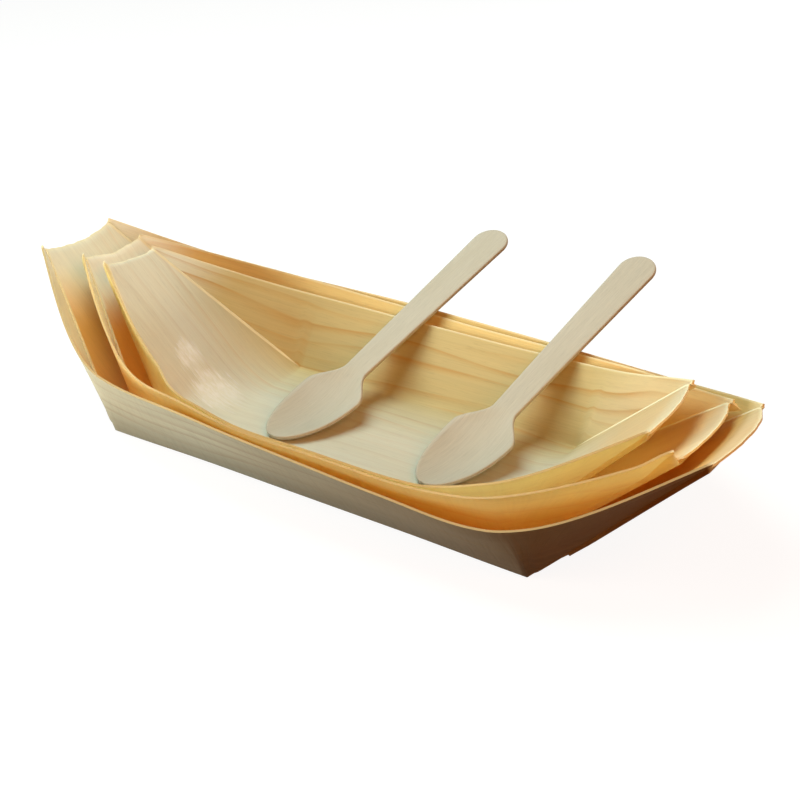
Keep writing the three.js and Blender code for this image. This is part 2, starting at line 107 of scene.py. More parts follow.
# %% Node helper
class Finish:
    """The nodes of a material or a world, with short calls for those that the finishes share."""

    def __init__(self, owner):
        self.owner = owner
        owner.use_nodes = True
        self.tree = owner.node_tree
        self.tree.nodes.clear()

    def node(self, kind, settings=None, **inputs):
        made = self.tree.nodes.new("ShaderNode" + kind)
        for key, value in (settings or {}).items():
            setattr(made, key, value)
        for key, value in inputs.items():
            number = key.removeprefix("in")
            socket = made.inputs[int(number)] if number.isdigit() else made.inputs[key.replace("_", " ")]
            if isinstance(value, bpy.types.NodeSocket):
                self.tree.links.new(value, socket)
            else:
                socket.default_value = value
        return made

    def math(self, operation, a, b=0.0):
        return self.node("Math", {"operation": operation}, in0=a, in1=b).outputs[0]

    def add(self, a, b):
        return self.math("ADD", a, b)

    def minus(self, a, b):
        return self.math("SUBTRACT", a, b)

    def times(self, a, b):
        return self.math("MULTIPLY", a, b)

    def attribute(self, name, output="Fac"):
        return self.node("Attribute", {"attribute_name": name}).outputs[output]

    def noise(self, vector, detail=2.0, scale=1.0):
        return self.node("TexNoise", None, Vector=vector, Scale=scale, Detail=detail).outputs["Fac"]

    def ramp(self, factor, *stops):
        """A grey ramp through (position, value) stops."""
        made = self.node("ValToRGB", None, Fac=factor)
        elements = made.color_ramp.elements
        for place, value in stops[2:]:
            elements.new(place)
        for element, (place, value) in zip(elements, stops):
            element.position = place
            element.color = (value, value, value, 1)
        return made.outputs["Color"]

    def blend(self, factor, a, b, kind="MIX"):
        settings = {"data_type": "RGBA", "blend_type": kind, "clamp_factor": True}
        return self.node("Mix", settings, in0=factor, in6=a, in7=b).outputs[2]

    def fade(self, value, start, full):
        """0 before start, 1 past full, and a straight line between."""
        made = self.node("MapRange", {"clamp": True}, Value=value, From_Min=start, From_Max=full)
        return made.outputs["Result"]

    def toward(self, value, target, share):
        """A number moved towards a target by a share."""
        return self.add(value, self.times(self.minus(target, value), share))

    def output(self, surface, kind="Material"):
        self.node("Output" + kind, None, Surface=surface)
        return self.owner


def new_finish(name):
    return Finish(bpy.data.materials.new(name))


def paint(red, green, blue):
    """A colour as a screen shows it, 0 to 255, as the linear colour that a shader takes."""
    linear = [((c / 255 + 0.055) / 1.055) ** 2.4 for c in (red, green, blue)]
    return (*linear, 1.0)

# %% [markdown]
# ## Floor and world
# The boats stand on a white table in front of white. A floor could be lit until it looks white, but
# then it would throw that light up into the shaded side of the large boat. So floor and world are
# white only to the rays that show them, and dark to the rays that light the wood. The floor still
# takes the shadow. Light that comes through several sheets of veneer needs a few more bounces than
# usual.

# %% Floor and world
floor_half = 3.0
floor_drop = 0.0001
floor_glow = 0.90
floor_dull = (0.06, 0.04, 0.03, 1)
floor_pale = (0.20, 0.20, 0.20, 1)
white = (1, 1, 1, 1)
ambient_colour = (1.0, 0.65, 0.35, 1)
ambient_strength = 0.05


def seen_rays(finish):
    """1 for rays that show the background: from the camera, in gloss and through glass."""
    rays = finish.node("LightPath").outputs
    clear = finish.minus(rays["Is Transmission Ray"], rays["Is Diffuse Ray"])
    shiny = finish.math("MAXIMUM", rays["Is Glossy Ray"], clear)
    return finish.math("MAXIMUM", rays["Is Camera Ray"], shiny)


table = new_finish("white_table")
dull = table.node("BsdfDiffuse", None, Color=floor_dull).outputs[0]
pale = table.node("BsdfDiffuse", None, Color=floor_pale).outputs[0]
glow = table.node("Emission", None, Color=white, Strength=floor_glow).outputs[0]
bright = table.node("AddShader", None, in0=pale, in1=glow).outputs[0]
table_surface = table.node("MixShader", None, in0=seen_rays(table), in1=dull, in2=bright).outputs[0]

corner_signs = ((-1, -1), (1, -1), (1, 1), (-1, 1))
floor_corners = [(x * floor_half, y * floor_half, -floor_drop) for x, y in corner_signs]
floor_mesh = bpy.data.meshes.new("floor")
floor_mesh.from_pydata(floor_corners, [], [(0, 1, 2, 3)])
floor_mesh.materials.append(table.output(table_surface))
floor = bpy.data.objects.new("floor", floor_mesh)
scene.collection.objects.link(floor)

scene.world = bpy.data.worlds.new("studio")
sky = Finish(scene.world)
ambient = sky.node("Background", None, Color=ambient_colour, Strength=ambient_strength).outputs[0]
backdrop = sky.node("Background", None, Color=white, Strength=1.0).outputs[0]
sky_surface = sky.node("MixShader", None, in0=seen_rays(sky), in1=ambient, in2=backdrop).outputs[0]
sky.output(sky_surface, "World")
scene.view_settings.view_transform = "Standard"
scene.cycles.diffuse_bounces = 6
print("floor:", 2 * floor_half, "m wide")

# %% [markdown]
# ## Lamps
# Two lights show in the wood: a cool one from above on the left, which pales the floors, and a warm
# one from the right, which glows in the walls. A small lamp low on the near left opens the outer
# wall, and a weak one behind keeps the back from going black. Sun lamps would be simpler, but square
# lamps give the shadows their soft edges.

# %% Lamps
def studio_lamp(name, toward_lamp, distance, width, level, colour=(1, 1, 1)):
    """A square lamp that gives a surface facing it its own colour at level 1."""
    data = bpy.data.lights.new(name, "AREA")
    data.size = width
    data.energy = level * (math.pi * distance) ** 2
    data.color = colour
    lamp = bpy.data.objects.new(name, data)
    direction = Vector(toward_lamp).normalized()
    lamp.location = direction * distance
    lamp.rotation_euler = direction.to_track_quat("Z", "Y").to_euler()
    scene.collection.objects.link(lamp)
    print(name, round(data.energy, 1), "W")


cool_light = (0.78, 1.0, 0.97)
warm_light = (1.0, 0.43, 0.13)
plain_light = (1.0, 0.97, 0.90)
studio_lamp("key_lamp", (-0.38, 0.04, 1.0), distance=0.58, width=0.36, level=0.82, colour=cool_light)
studio_lamp("warm_lamp", (0.75, -0.28, 0.65), distance=0.60, width=0.50, level=0.50, colour=warm_light)
studio_lamp("fill_lamp", (-0.80, -0.85, 0.28), distance=0.42, width=0.18, level=0.82, colour=plain_light)
studio_lamp("back_lamp", (0.10, 0.95, 0.10), distance=0.60, width=0.30, level=0.28)

# %% [markdown]
# ## The form of a boat
# A boat is one sheet with four slits. Between the slits the floor bends up into an end panel; beside
# them the side walls twist in, pass behind the panel's cut edges and lie glued to its back. The form
# could be sculpted by hand, but three boats of three sizes share it, so it is written as functions
# of the place along the boat, with the sizes of the measured model.

# %% Sizes of the veneer and the folds
sheet_thickness = 0.0007
seat_gap = 0.0003
crease_bend = 0.0004
bilge_bend = 0.0025
end_bend = 0.009
lip_height = 0.0009
lip_flare = 0.0006
reach_start = 0.5  # share of the way up a panel from which it reaches out
width_step = 0.010
height_step = 0.0019
nest_clearance = 0.0006
small_turn = math.radians(1.7)


@dataclass
class End:
    """One end of a boat: tip and floor along the boat, and the shape at the tip and the shoulder."""

    tip_x: float
    floor_x: float
    tip_width: float
    tip_height: float
    shoulder: float
    taper: float
    rise: float
    sag: float  # hollow of the end panel between its creases
    reach: float  # by which the middle of the end panel stands past the tip
    near_lift: float  # by which the near tip stands higher than the far one
    near_reach: float = 0.0  # by which the near tip stands further out
    near_skew: float = 0.0  # by which the floor's near corner lies further out
    near_cut: float = 0.0  # by which the near wall stops short of the end panel
    far_cut: float = 0.0


def lerp(a, b, share):
    return a + (b - a) * share


def ease(share):
    share = min(1.0, max(0.0, share))
    return share * share * (3 - 2 * share)


print("veneer:", sheet_thickness * 1000, "mm")

# %% [markdown]
# ## Curves for the rim
# The rim of a folded boat runs smoothly through a few places that can be measured: the tips, the
# shoulders and the middle. A curve object could hold it, but its handles would have to be set by
# hand for each size. A curve whose slopes follow from its stations, and that never overshoots them,
# fits itself.

# %% Curves for the rim
def end_slope(gap, next_gap, rise, next_rise):
    slope = ((2 * gap + next_gap) * rise - gap * next_rise) / (gap + next_gap)
    return slope if slope * rise > 0 else 0.0


def smooth_through(stations):
    """A curve through (x, value) stations that never overshoots them."""
    xs = [x for x, value in stations]
    values = [value for x, value in stations]
    last = len(xs) - 1
    gaps = np.diff(xs)
    rises = np.diff(values) / gaps
    slopes = [end_slope(gaps[0], gaps[1], rises[0], rises[1])]
    for k in range(1, last):
        before, after = 2 * gaps[k] + gaps[k - 1], gaps[k] + 2 * gaps[k - 1]
        level = rises[k - 1] * rises[k] <= 0
        slopes.append(0.0 if level else (before + after) / (before / rises[k - 1] + after / rises[k]))
    slopes.append(end_slope(gaps[-1], gaps[-2], rises[-1], rises[-2]))

    def curve(x):
        k = min(max(int(np.searchsorted(xs, x)) - 1, 0), last - 1)
        t = (x - xs[k]) / gaps[k]
        value = lerp(values[k], values[k + 1], 3 * t ** 2 - 2 * t ** 3)
        return value + gaps[k] * ((t ** 3 - 2 * t ** 2 + t) * slopes[k] + (t ** 3 - t ** 2) * slopes[k + 1])

    return curve

# %% Boat form
pale_right = 0.4  # how pale the band at the right end is painted where light falls on it: painted light
pale_right_start = 0.86  # shares of the way up an end
pale_left_start = 0.50
pale_left_length = 0.40


class Boat:
    """The inner face of one boat, as functions of the place x along it."""

    def __init__(self, name, seed, left, right, floor_width, beam, side_height, place, turn, near_out,
                 near_up):
        self.name, self.seed, self.left, self.right = name, seed, left, right
        self.floor_width, self.place, self.turn = floor_width, Vector(place), turn
        self.middle_x = (left.tip_x + right.tip_x) / 2
        self.rim_y = smooth_through([
            (left.tip_x, left.tip_width / 2),
            (self.middle_x - left.shoulder, (beam - left.taper) / 2),
            (self.middle_x, beam / 2),
            (self.middle_x + right.shoulder, (beam - right.taper) / 2),
            (right.tip_x, right.tip_width / 2),
        ])
        self.rim_z = smooth_through([
            (left.tip_x, left.tip_height),
            (self.middle_x - left.shoulder, side_height + left.rise),
            (self.middle_x, side_height),
            (self.middle_x + right.shoulder, side_height + right.rise),
            (right.tip_x, right.tip_height),
        ])
        at_left, at_right = [(left.tip_x, 0.0)], [(right.tip_x, 0.0)]
        self.near_out = smooth_through(at_left + near_out + at_right)
        self.near_up = smooth_through(at_left + near_up + at_right)

    def side_name(self, x):
        return "left" if x < self.middle_x else "right"

    def end(self, x):
        return self.left if x < self.middle_x else self.right

    def outward(self, x):
        return -1 if x < self.middle_x else 1

    def floor_end(self, x, y):
        """Where the floor ends: its near corner may lie further out than its far one."""
        toward_near = min(1.0, max(0.0, 0.5 - y / self.floor_width))
        return self.end(x).floor_x + self.outward(x) * self.end(x).near_skew * toward_near

    def floor_corner(self, x, side):
        return self.floor_end(x, side * self.floor_width / 2)

    def run(self, x, y):
        return abs(self.end(x).tip_x - self.floor_end(x, y))

    def climb(self, x, y):
        """Share of the way from the floor's end to the tip, below 0 over the floor."""
        return (x - self.floor_end(x, y)) * self.outward(x) / self.run(x, y)

    def corner_climb(self, x, side):
        return self.climb(x, side * self.floor_width / 2)

    def bleached(self, x, y):
        """Painted light: how far the veneer is painted paler where light falls, on the upper left end and
        in a band at the right one.
        """
        if x > self.middle_x:
            return pale_right * ease((self.climb(x, y) - pale_right_start) / (1 - pale_right_start))
        on_near_wall = -y > self.crease_y(x, -1)
        start = 0.0 if on_near_wall else pale_left_start
        return ease((self.climb(x, y) - start) / pale_left_length)

    def panel_rise(self, x):
        return self.end(x).tip_height - lip_height - sheet_thickness

    def crease_y(self, x, side):
        tip_y = self.end(x).tip_width / 2 - lip_flare
        return lerp(self.floor_width / 2, tip_y, max(0, self.corner_climb(x, side)))

    def crease_z(self, x, side):
        return sheet_thickness + self.panel_rise(x) * max(0, self.corner_climb(x, side))

    def floor_z(self, x, y):
        """Floor and end panel: a soft bend, then a rise that hangs a little between the creases."""
        side = -1 if y < 0 else 1
        climb = self.climb(x, 0)
        reach = end_bend / self.run(x, 0)
        bent = (climb + reach) ** 2 / (4 * reach) if abs(climb) < reach else max(0, climb)
        sag = self.end(x).sag * max(0, climb)
        middle_z = sheet_thickness + self.panel_rise(x) * bent - sag
        return lerp(middle_z, self.crease_z(x, side), (y / self.crease_y(x, side)) ** 2)

    def behind_panel(self, x, side, inward, depth):
        """A point inward from the crease and behind the end panel, with y counted from the middle."""
        step = 0.00001
        y = self.crease_y(x, side) - inward

        def height(at_x, at_y):
            return self.floor_z(at_x, side * at_y)

        slope_x = (height(x + step, y) - height(x - step, y)) / (2 * step)
        slope_y = (height(x, y + step) - height(x, y - step)) / (2 * step)
        normal = np.array([-slope_x, -slope_y, 1.0])
        normal /= np.linalg.norm(normal)
        return np.array([x, y, height(x, y)]) - normal * depth

    def by_hand(self, x, point):
        """The point as the folding hand left it: the near corner of an end lifted and drawn out."""
        end = self.end(x)
        toward_near = min(1.0, max(0.0, 0.5 - point[1] / end.tip_width))
        share = ease(self.climb(x, point[1])) * toward_near
        drawn_out = self.outward(x) * end.near_reach * share
        return (point[0] + drawn_out, point[1], point[2] + end.near_lift * share)

    def to_frame(self):
        return Matrix.Translation(self.place) @ Matrix.Rotation(self.turn, 4, "Z")

# %% [markdown]
# ## The three boats
# The boats are made to one pattern, and each was folded by hand, so every end has its own sizes. The
# smaller boats lie pushed to the far side of the next larger one, and the smallest a little askew.
# Their near rims were also bent in use. Such bends could be sculpted, but a few stations along the
# rim are easier to read and to change.

# %% The three boats
large_left = End(
    tip_x=-0.1225, floor_x=-0.0775, tip_width=0.033, tip_height=0.0475, shoulder=0.071, taper=0.015,
    rise=0.0025, sag=0.0026, reach=0.0, near_lift=0.0022)
large_right = End(
    tip_x=0.1225, floor_x=0.0775, tip_width=0.0395, tip_height=0.044, shoulder=0.071, taper=0.005,
    rise=0.0007, sag=0.0010, reach=0.0042, near_lift=0.0012)
medium_left = End(
    tip_x=-0.1080, floor_x=-0.0730, tip_width=0.027, tip_height=0.0435, shoulder=0.056, taper=0.009,
    rise=0.0032, sag=0.0016, reach=0.0, near_lift=0.0026, near_reach=0.002)
medium_right = End(
    tip_x=0.1125, floor_x=0.0680, tip_width=0.0355, tip_height=0.041, shoulder=0.056, taper=0.005,
    rise=0.0020, sag=0.0010, reach=0.0030, near_lift=0.0, near_cut=0.003, far_cut=-0.0012)
small_left = End(
    tip_x=-0.0970, floor_x=-0.0472, tip_width=0.023, tip_height=0.043, shoulder=0.050, taper=0.008,
    rise=0.0022, sag=0.0008, reach=0.0, near_lift=0.0026, near_reach=0.002, near_skew=0.0168)
small_right = End(
    tip_x=0.1000, floor_x=0.0608, tip_width=0.033, tip_height=0.042, shoulder=0.050, taper=0.003,
    rise=0.0016, sag=0.0008, reach=0.0020, near_lift=0.0, far_cut=-0.0008)

large_floor_width, large_beam, large_side = 0.074, 0.110, 0.0245
floor_step_z = sheet_thickness + seat_gap
free_play = width_step / 2 - 2 * sheet_thickness - nest_clearance
askew_swing = math.sin(small_turn) * large_right.floor_x

# How far the near rims are bent outwards and upwards, as (x, change).
large_out = [(0.0, 0.0)]
large_up = [(-0.068, 0.0), (-0.027, 0.0032), (0.012, 0.0022), (0.038, 0.0), (0.063, -0.0019),
            (0.082, -0.0005)]
medium_out = [(-0.094, 0.0010), (-0.064, 0.0020), (-0.038, 0.0)]
medium_up = [(-0.038, 0.0), (0.008, 0.0012), (0.044, -0.0004), (0.082, 0.0015)]
small_out = [(-0.083, -0.0022), (-0.063, -0.0042), (-0.052, -0.0013), (-0.043, 0.0)]
small_up = [(-0.043, 0.0), (-0.024, -0.0010), (0.0, 0.0), (0.040, -0.0016), (0.061, 0.0016)]

large = Boat(
    "large", 0.0, large_left, large_right,
    floor_width=large_floor_width, beam=large_beam, side_height=large_side,
    place=(0, 0, 0), turn=0, near_out=large_out, near_up=large_up)
medium = Boat(
    "medium", 1.7, medium_left, medium_right,
    floor_width=large_floor_width - width_step, beam=large_beam - width_step,
    side_height=large_side - height_step,
    place=(0, free_play, floor_step_z), turn=0, near_out=medium_out, near_up=medium_up)
small = Boat(
    "small", 3.4, small_left, small_right,
    floor_width=large_floor_width - 2 * width_step, beam=large_beam - 2 * width_step,
    side_height=large_side - 2 * height_step,
    place=(0, askew_swing, 2 * floor_step_z), turn=small_turn, near_out=small_out, near_up=small_up)
boats = (large, medium, small)
for boat in boats:
    low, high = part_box(boat.name + "_boat")
    print(boat.name, "boat: node from", [round(c, 4) for c in low], "to", [round(c, 4) for c in high])

# %% [markdown]
# ## One sheet as a mesh
# The sheet is laid out as rows of points across the boat. A row holds the floor or end panel, and on
# each side a wall. Along the floor, wall and floor share the points of their seam; past the floor's
# corner the seam opens into the slit, and the wall gets points of its own behind the panel's edge.
# The four tucks are further rows that start from the wall's lower edge. Bending a flat grid with
# modifiers would be another way, but it can't open the slits.

# %% Stations along the boat
flat_steps, bend_steps, panel_steps = 26, 14, 30
near_and_far = (-1, 1)


def stations_along(boat):
    """Places from the left tip to the right tip, close together round the bends."""
    stations = []
    for end, outward in ((boat.left, -1), (boat.right, 1)):
        flat_end = end.floor_x - outward * end_bend
        bend_end = end.floor_x + outward * (end_bend + end.near_skew)
        bend_count = round(bend_steps * abs(bend_end - flat_end) / (2 * end_bend))
        half = list(np.linspace(boat.middle_x, flat_end, flat_steps, endpoint=False))
        half += list(np.linspace(flat_end, bend_end, bend_count, endpoint=False))
        half += list(np.linspace(bend_end, end.tip_x, panel_steps + 1))
        stations.append(half)
    to_left, to_right = stations
    return to_left[:0:-1] + to_right


print("rows across the boats:", [len(stations_along(boat)) for boat in boats])

# %% Edges of the sheet
ragged_cut = 0.00035
ragged_start = 0.85  # share of the way up an end from which its cut edge is ragged
fine_fibres, coarse_fibres = 900, 160  # broken fibres to a metre
rim_wobble = 0.0004
rim_wobble_length = 0.035


def ragged(boat, x, across, climb):
    """How far the cut end of the sheet stands out where fibres broke unevenly."""
    fine = noise.noise(Vector((across * fine_fibres, boat.seed + x * 50, 0.3)))
    coarse = noise.noise(Vector((across * coarse_fibres, boat.seed + x * 50, 7.1)))
    near_end = ease((climb - ragged_start) / (1 - ragged_start))
    return ragged_cut * (0.6 * fine + 1.4 * coarse) * near_end


def stretched_end(boat, x, side, y):
    """x moved out towards the end of the panel, which stands past the tip in its middle."""
    climb = boat.climb(x, side * y)
    share = min(1.0, y / boat.crease_y(x, side))
    reach = boat.end(x).reach * (1 - share ** 2) * ease((climb - reach_start) / (1 - reach_start))
    return x + boat.outward(x) * (reach + ragged(boat, x, side * y, climb))


def rim_point(boat, x, side):
    """The rim on one side, with the small waves that a cut and folded edge has."""
    sway = noise.noise(Vector((x / rim_wobble_length, side * 3.1, boat.seed)))
    lift = noise.noise(Vector((x / rim_wobble_length, side * 5.3, boat.seed + 9)))
    rim_y, rim_z = boat.rim_y(x) + rim_wobble * sway, boat.rim_z(x) + rim_wobble * lift
    if side < 0:
        rim_y += boat.near_out(x)
        rim_z += boat.near_up(x)
    return np.array([rim_y, rim_z])

# %% Half a row of the floor
floor_columns, bend_columns, wall_columns = 16, 7, 10
slit_opening = 0.006  # length over which the slit opens
slit_gap = 0.0003
edge_band = 0.0008  # width of the light line along a cut edge: the pale cut fibres and a painted highlight
edge_roll = 0.0005  # by which the cut end of a sheet rolls over
edge_curl = 0.0003  # by which the cut edge of an end panel curls up
last_row = 0.999  # share of the way up an end past which only its last row lies


def past_corner(boat, x, side):
    return boat.corner_climb(x, side) * boat.run(x, side * boat.floor_width / 2)


def slit_share(boat, x, side):
    """0 where floor and wall are one sheet, 1 where the slit between them is open."""
    return ease(past_corner(boat, x, side) / slit_opening)


def bilge(boat, x, side):
    """The fold between floor and wall, the rim over it, and the bend round the fold as a curve."""
    crease = np.array([boat.crease_y(x, side), boat.crease_z(x, side)])
    rim = rim_point(boat, x, side)
    reach = lerp(crease_bend, bilge_bend, ease(-boat.corner_climb(x, side)))
    wall = (rim - crease) / np.linalg.norm(rim - crease)
    start = np.array([crease[0] - reach, boat.floor_z(x, side * (crease[0] - reach))])
    end = crease + wall * reach

    def bend(q):
        return (1 - q) ** 2 * start + 2 * q * (1 - q) * crease + q ** 2 * end

    return crease, rim, bend


def floor_half(boat, x, side):
    """Points from the middle of the floor or end panel to its edge on one side."""
    crease, rim, bend = bilge(boat, x, side)
    opening = slit_share(boat, x, side)
    edge = bend(0)[0]
    shares = np.linspace(0, 1, floor_columns + 1)
    closed = [(edge * s, boat.floor_z(x, side * edge * s)) for s in shares]
    closed += [tuple(bend(q)) for q in np.linspace(0, 0.5, bend_columns + 1)[1:]]
    roll = edge_roll if boat.corner_climb(x, side) > last_row else 0.0
    row = []
    for k, (y, z) in enumerate(closed):
        past_band = max(0, k - floor_columns) / bend_columns
        open_y = min(k / floor_columns, 1) * (crease[0] - edge_band) + past_band * edge_band
        y_now = lerp(y, open_y, opening)
        x_now = stretched_end(boat, x, side, y_now)
        z_now = lerp(z, boat.floor_z(x_now, side * y_now) + edge_curl * past_band, opening)
        row.append(boat.by_hand(x, (x_now, side * y_now, z_now - roll)))
    return row

# %% Half a row of a wall
corner_fan = 0.016  # length of rim over which the wall fans out from the floor's corner
cut_start = 0.75  # share of the way up an end from which a wall is cut shorter
least_wall = 0.2


def foot_place(boat, x, side):
    """Where the wall's foot lies for the rim at x: the wall fans out round the floor's corner."""
    corner = boat.floor_corner(x, side)
    past = (x - corner) * boat.outward(x)
    if 0 < past < corner_fan:
        past = past ** 2 * (2 * corner_fan - past) / corner_fan ** 2
    return corner + boat.outward(x) * past


def closed_wall(boat, x, side):
    """Points (y, z) up a wall that is one sheet with the floor, from the fold to the rim."""
    crease, rim, bend = bilge(boat, x, side)
    below_band = 1 - edge_band / np.linalg.norm(rim - bend(1))
    points = [bend(q) for q in np.linspace(0.5, 1, bend_columns + 1)]
    points += [lerp(bend(1), rim, s) for s in np.linspace(0, below_band, wall_columns)[1:]]
    return points + [rim]


def open_wall(boat, x, side, count):
    """Points up a wall that is parted from the panel by the slit, from behind the panel to the rim."""
    rim_y, rim_z = rim_point(boat, x, side)
    rim = np.array([x, rim_y, rim_z])
    foot_x = foot_place(boat, x, side)
    foot = boat.behind_panel(foot_x, side, -slit_gap, sheet_thickness)
    top = boat.behind_panel(foot_x, side, -slit_gap, 0)
    below_band = max(least_wall, 1 - edge_band / np.linalg.norm(rim - top))
    return [foot] + [lerp(top, rim, s) for s in np.linspace(0, below_band, count - 2)] + [rim]


def wall_half(boat, x, side):
    """Points up one side wall, from the floor's edge or from behind the panel to the rim."""
    climb = boat.corner_climb(x, side)
    opening = slit_share(boat, x, side)
    cut = boat.end(x).near_cut if side < 0 else boat.end(x).far_cut
    shortened = cut * ease((climb - cut_start) / (1 - cut_start))
    closed = closed_wall(boat, x, side)
    row = []
    for (y, z), open_point in zip(closed, open_wall(boat, x, side, len(closed))):
        point = lerp(np.array([x, y, z]), open_point, opening)
        torn = ragged(boat, x, side * point[2] + 0.4, climb)
        moved = point[0] + boat.outward(x) * (torn - shortened)
        row.append(boat.by_hand(x, (moved, side * point[1], point[2])))
    return row

# %% [markdown]
# ## Tucks
# The ends of the side walls are folded round behind the end panels and glued there. From behind, the
# tucks are what the eye meets first. They could be separate plates, but on the real boat they are the
# same sheet as the wall, so their rows start at the wall's foot and run inward behind the panel.

# %% Tucks
tuck_start = 0.009
tuck_root = 0.002
tuck_split = 0.004
tuck_short = 0.0015
tuck_emerge = 0.007
tuck_columns = 10
root_depth = 1.25 * sheet_thickness
glue_slot = 0.0005
tuck_ripple = 0.05
ripples_to_metre = 120


def tuck_row(boat, x, side):
    """Points of a tuck from the fold behind the crease to its free edge, without the fold's first."""
    tip_x = boat.end(x).tip_x
    start_x = boat.floor_corner(x, side) + boat.outward(x) * tuck_start
    share = (x - start_x) / (tip_x - start_x)
    x = lerp(start_x, tip_x - boat.outward(x) * tuck_short, share)
    width = lerp(tuck_root, boat.crease_y(tip_x, side) - tuck_split / 2, share)
    out = ease(abs(x - start_x) / tuck_emerge)
    depth = lerp(root_depth, sheet_thickness + glue_slot, out)
    width *= 1 + tuck_ripple * noise.noise(Vector((x * ripples_to_metre, side * 2.7, boat.seed)))
    fold = [(-slit_gap * 0.6, lerp(sheet_thickness, depth, 0.7)), (slit_gap, depth)]
    flat = [(lerp(2 * slit_gap, width, k / tuck_columns), depth) for k in range(tuck_columns + 1)]
    points = [boat.behind_panel(x, side, inward, deep) for inward, deep in fold + flat]
    return [boat.by_hand(x, (px, side * py, pz)) for px, py, pz in points]


print("tucks start", tuck_start * 1000, "mm from the floor's corners")

# %% [markdown]
# ## The sheet with its grain
# Every point of the sheet also gets its place on the flat veneer, along and across the grain. An
# unwrapped UV map could give that, but it would cut the sheet into islands. Lengths measured along
# the rows and columns of points keep the grain unbroken over the folds.

# %% Sheet coordinates
def arc_lengths(points):
    """Length along a line of points from its first to each of them."""
    steps = np.linalg.norm(np.diff(np.asarray(points), axis=0), axis=1)
    return np.concatenate([[0.0], np.cumsum(steps)])


def along_grain(rows, middle):
    """For each column of points, the length along it from the middle row, negative to the left."""
    lengths = np.array([arc_lengths(column) for column in np.swapaxes(rows, 0, 1)])
    return lengths - lengths[:, middle:middle + 1]


class SheetMesh:
    """Vertices, faces and sheet coordinates of one boat, gathered row by row."""

    def __init__(self, boat):
        self.boat = boat
        self.points, self.grain, self.bleached, self.edge, self.faces = [], [], [], [], []

    def add(self, point, along, across, edge=0.0):
        self.points.append(tuple(point))
        self.grain.append((along, across, self.boat.seed))
        self.bleached.append(self.boat.bleached(point[0], point[1]))
        self.edge.append(edge)
        return len(self.points) - 1

    def join(self, rows, flip):
        for row, after in zip(rows, rows[1:]):
            for k in range(len(row) - 1):
                face = (row[k], after[k], after[k + 1], row[k + 1])
                self.faces.append(face[::-1] if flip else face)

# %% Floor and walls of a sheet
slit_edge_start = 0.05  # share of the way up an end over which the slit's edge turns light, as a painted highlight


def add_floor(sheet, xs, floors):
    """Adds floor and end panels and gives the points of each half row."""
    rows = {side: [] for side in near_and_far}
    for side in near_and_far:
        along = along_grain(floors[side], xs.index(sheet.boat.middle_x))
        for i, row in enumerate(floors[side]):
            across = arc_lengths(row)
            ids = [] if side == -1 else [rows[-1][i][0]]
            slit = ease(sheet.boat.corner_climb(xs[i], side) / slit_edge_start)
            at_tip = 1.0 if i in (0, len(xs) - 1) else 0.0
            for k in range(len(ids), len(row)):
                # Cut edges at the tips and along the slits get the light line: pale cut fibres and a
                # painted highlight.
                edge = max(slit if k > floor_columns else 0.0, at_tip)
                ids.append(sheet.add(row[k], along[k][i], side * across[k], edge))
            rows[side].append(ids)
    for side in near_and_far:
        sheet.join(rows[side], flip=side == -1)
    return rows


def add_wall(sheet, xs, side, floor, wall, floor_rows, half_width):
    """Adds one side wall with the two tucks at its ends."""
    boat = sheet.boat
    along = along_grain(wall, xs.index(boat.middle_x))
    wall_rows, tucks = [], {"left": [], "right": []}
    for i, (x, row) in enumerate(zip(xs, wall)):
        lengths = arc_lengths(row)
        from_floor = arc_lengths(floor[i])[-1] + lengths
        from_rim = half_width - arc_lengths(row[::-1])[::-1]
        nearer_rim = np.maximum(lengths / lengths[-1], slit_share(boat, x, side))
        across = lerp(from_floor, from_rim, nearer_rim)
        on_floor = boat.corner_climb(x, side) <= 0
        ids = [floor_rows[i][-1]] if on_floor else []
        at_tip = 1.0 if i in (0, len(xs) - 1) else 0.0
        for k in range(len(ids), len(row)):
            # The far rim and the tips get the light line of a cut edge, partly a painted highlight.
            edge = 1.0 if side > 0 and k == len(row) - 1 else at_tip
            ids.append(sheet.add(row[k], along[k][i], side * across[k], edge))
        wall_rows.append(ids)
        foot_x = foot_place(boat, x, side)
        if not on_floor and abs(foot_x - boat.floor_corner(x, side)) > tuck_start:
            points = tuck_row(boat, foot_x, side)
            inward = arc_lengths([row[0], *points])[1:]
            made = [ids[0]]
            for point, length in zip(points, inward):
                made.append(sheet.add(point, along[0][i], side * (across[0] - length)))
            tucks[boat.side_name(x)].append(made[::-1])
    for rows in (wall_rows, *tucks.values()):
        sheet.join(rows, flip=side == -1)


def boat_sheet(boat):
    """The inner face of a boat's sheet, with its slits and tucks, in the boat's own place."""
    xs = stations_along(boat)
    sheet = SheetMesh(boat)
    floors = {side: np.array([floor_half(boat, x, side) for x in xs]) for side in near_and_far}
    walls = {side: np.array([wall_half(boat, x, side) for x in xs]) for side in near_and_far}
    middle = xs.index(boat.middle_x)
    half_width = arc_lengths(floors[1][middle])[-1] + arc_lengths(walls[1][middle])[-1]
    floor_rows = add_floor(sheet, xs, floors)
    for side in near_and_far:
        add_wall(sheet, xs, side, floors[side], walls[side], floor_rows[side], half_width)
    return sheet

# %% [markdown]
# ## Thickness
# Veneer is sliced to a thickness, and its cut edges show it as a light line. Both faces could be
# written out point by point. A Solidify modifier does the same for any sheet, and gives the inner
# face, the outer face and the cut edges a finish each.

# %% Thickness and finish slots
sharp_angle = math.radians(38)


def point_attribute(mesh, name, values):
    """Stores a number or a vector for each point of a mesh, for the finishes to read."""
    values = np.array(values, np.float32)
    kind, field = ("FLOAT", "value") if values.ndim == 1 else ("FLOAT_VECTOR", "vector")
    mesh.attributes.new(name, kind, "POINT").data.foreach_set(field, values.ravel())


